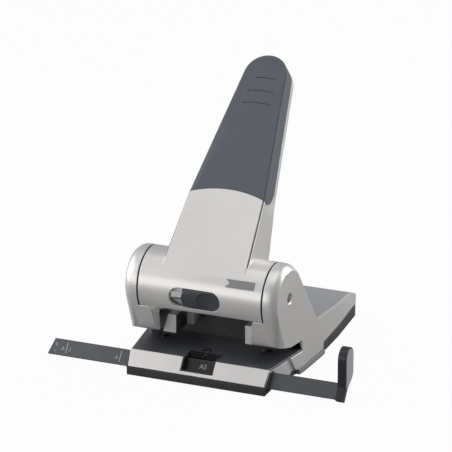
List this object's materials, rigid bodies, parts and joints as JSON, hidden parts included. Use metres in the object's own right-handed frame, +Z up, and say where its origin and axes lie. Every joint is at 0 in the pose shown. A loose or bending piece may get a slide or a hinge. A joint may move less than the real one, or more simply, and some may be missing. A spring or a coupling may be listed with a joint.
{
  "type": "two-hole paper punch",
  "caption": "Hand-lever desk punch for two holes: silver housing with a dark table, drum lever with a blue-grey grip, lock slider and a sliding paper stop.",
  "frame": {"origin": "on the desk, half way between the two punches, straight below their axes", "axes": "+X along the paper edge towards the paper stop, +Y from the paper towards the rear of the punch, +Z up"},
  "size_m": [0.2301, 0.1802, 0.2064],
  "materials": {
    "silver_paint": "satin silver paint",
    "grip_plastic": "fine-grained dark blue-grey plastic",
    "table_paint": "semi-gloss dark grey",
    "throat_paint": "semi-gloss black",
    "deck_plastic": "flat mid-grey",
    "base_plastic": "satin black",
    "foot_plastic": "grey",
    "foot_rubber": "matt black",
    "tool_steel": "ground",
    "guide_metal": "satin light grey",
    "screw_steel": "zinc plated",
    "pin_steel": "turned",
    "spring_steel": "drawn wire",
    "bush_brass": "turned",
    "catch_steel": "dark zinc",
    "slider_plastic": "satin dark grey",
    "window_plastic": "gloss black",
    "rail_plastic": "dark grey plastic",
    "stop_plastic": "satin black",
    "stop_insert": "light grey",
    "plate_plastic": "dark grey"
  },
  "bodies": {
    "base": {"housing": "silver_paint", "table_plate": "table_paint", "throat_plate": "throat_paint", "deck_cover": "deck_plastic", "base_skirt": "base_plastic", "side_foot_left": "foot_plastic", "side_foot_right": "foot_plastic", "rubber_feet": "foot_rubber", "die_left": "tool_steel", "die_right": "tool_steel", "punch_guide_left": "guide_metal", "punch_guide_right": "guide_metal", "guide_screws": "screw_steel", "pivot_pin": "pin_steel", "index_window": "window_plastic", "rail_channel": "base_plastic", "rail_spring": "spring_steel", "lock_catch": "catch_steel", "base_screws": "screw_steel", "tray_pins": "pin_steel", "spring_left": "spring_steel", "spring_right": "spring_steel"},
    "lever": {"lever_body": "silver_paint", "grip": "grip_plastic", "lever_back_cover": "slider_plastic", "name_plate": "plate_plastic", "cam_left": "tool_steel", "cam_right": "tool_steel", "cam_dowels": "pin_steel", "bush_left": "bush_brass", "bush_right": "bush_brass", "slider_frame": "spring_steel"},
    "lock": {"lock_slider": "slider_plastic"},
    "left_punch": {"punch_left": "tool_steel"},
    "right_punch": {"punch_right": "tool_steel"},
    "rail": {"guide_rail": "rail_plastic", "rail_stop": "stop_plastic", "stop_face": "stop_insert"},
    "tray": {"chip_tray": "base_plastic"}
  },
  "joints": [
    {"name": "lever_press", "type": "hinge", "parent": "base", "child": "lever", "pos_m": [0, -0.011, 0.0641], "axis": [-1, 0, 0], "range_deg": [0, 50], "stiffness_Nm_per_rad": 0.6, "springref_deg": -85.94},
    {"name": "left_punch_slide", "type": "slide", "parent": "base", "child": "left_punch", "axis": [0, 0, -1], "range_m": [0, 0.0097], "deforming": ["spring_left"]},
    {"name": "right_punch_slide", "type": "slide", "parent": "base", "child": "right_punch", "axis": [0, 0, -1], "range_m": [0, 0.0097], "deforming": ["spring_right"]},
    {"name": "lock_slide", "type": "slide", "parent": "lever", "child": "lock", "axis": [-1, 0, 0], "range_m": [0, 0.009]},
    {"name": "rail_slide", "type": "slide", "parent": "base", "child": "rail", "axis": [1, 0, 0], "range_m": [-0.032, 0.105]},
    {"name": "tray_open", "type": "hinge", "parent": "base", "child": "tray", "pos_m": [0, 0.106, 0.0044], "axis": [1, 0, 0], "range_deg": [0, 60]}
  ],
  "couplings": [
    {"joint": "left_punch_slide", "follows": "lever_press", "m_per_rad": 0.011},
    {"joint": "right_punch_slide", "follows": "lever_press", "m_per_rad": 0.011}
  ]
}
